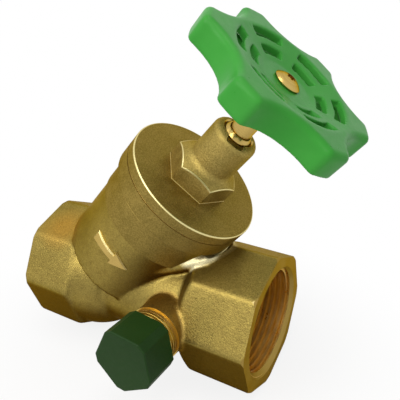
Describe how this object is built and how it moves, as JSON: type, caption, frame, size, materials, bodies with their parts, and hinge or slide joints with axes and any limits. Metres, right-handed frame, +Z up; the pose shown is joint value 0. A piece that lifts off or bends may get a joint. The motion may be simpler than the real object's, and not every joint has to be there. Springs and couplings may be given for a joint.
{
  "type": "inclined seat valve",
  "caption": "Inclined seat stop valve in brass with two threaded octagonal sockets, a slanted bonnet, a rising stem with a lobed green handwheel and a capped side drain.",
  "frame": {"origin": "the point where the bonnet axis meets the pipe axis", "axes": "+X along the pipe towards the outlet, +Z up on the side of the bonnet, the drain points along -Y, and the bonnet axis lies in the XZ plane at 50 degrees to +X"},
  "size_m": [0.1231, 0.0806, 0.1366],
  "materials": {
    "brass": "blasted forging",
    "bright_brass": "turned",
    "green": "semi-gloss moulding",
    "dark_green": "satin moulding",
    "rubber": "black",
    "fibre": "red fibre",
    "steel": "spring steel",
    "ptfe": "white"
  },
  "bodies": {
    "housing": {"body": "brass", "bonnet": "brass", "bonnet_gasket": "fibre", "packing_ring": "ptfe", "gland_washer": "bright_brass", "gland_screw": "bright_brass", "gland_o_ring": "rubber", "drain_body": "bright_brass", "drain_gasket": "fibre"},
    "plug": {"plug_holder": "brass", "plug_clip": "steel", "plug_seal": "rubber", "plug_washer": "bright_brass", "plug_nut": "bright_brass"},
    "spindle": {"stem": "bright_brass", "handwheel": "green", "handwheel_screw": "bright_brass"},
    "cap_slide": {"cap_seal": "rubber"},
    "cap": {"drain_cap": "dark_green"},
    "needle_slide": {"drain_o_ring": "rubber"},
    "needle": {"drain_spindle": "bright_brass"}
  },
  "joints": [
    {"name": "plug_lift", "type": "slide", "parent": "housing", "child": "plug", "axis": [0.6428, 0, 0.766], "range_m": [-0.015, 0]},
    {"name": "stem_turn", "type": "hinge", "parent": "plug", "child": "spindle", "pos_m": [0.06428, 0, 0.0766], "axis": [0.6428, 0, 0.766], "range_deg": [-1800, 0]},
    {"name": "cap_out", "type": "slide", "parent": "housing", "child": "cap_slide", "axis": [0, -1, 0], "range_m": [0, 0.0075]},
    {"name": "cap_turn", "type": "hinge", "parent": "cap_slide", "child": "cap", "pos_m": [0.0429, -0.04, 0], "axis": [0, -1, 0], "range_deg": [0, 1800]},
    {"name": "needle_out", "type": "slide", "parent": "housing", "child": "needle_slide", "axis": [0, -1, 0], "range_m": [0, 0.003]},
    {"name": "needle_turn", "type": "hinge", "parent": "needle_slide", "child": "needle", "pos_m": [0.0429, -0.03, 0], "axis": [0, -1, 0], "range_deg": [0, 1080]}
  ],
  "couplings": [
    {"joint": "stem_turn", "follows": "plug_lift", "rad_per_m": 2094.4},
    {"joint": "cap_turn", "follows": "cap_out", "rad_per_m": 4188.8},
    {"joint": "needle_turn", "follows": "needle_out", "rad_per_m": 6283.2}
  ]
}
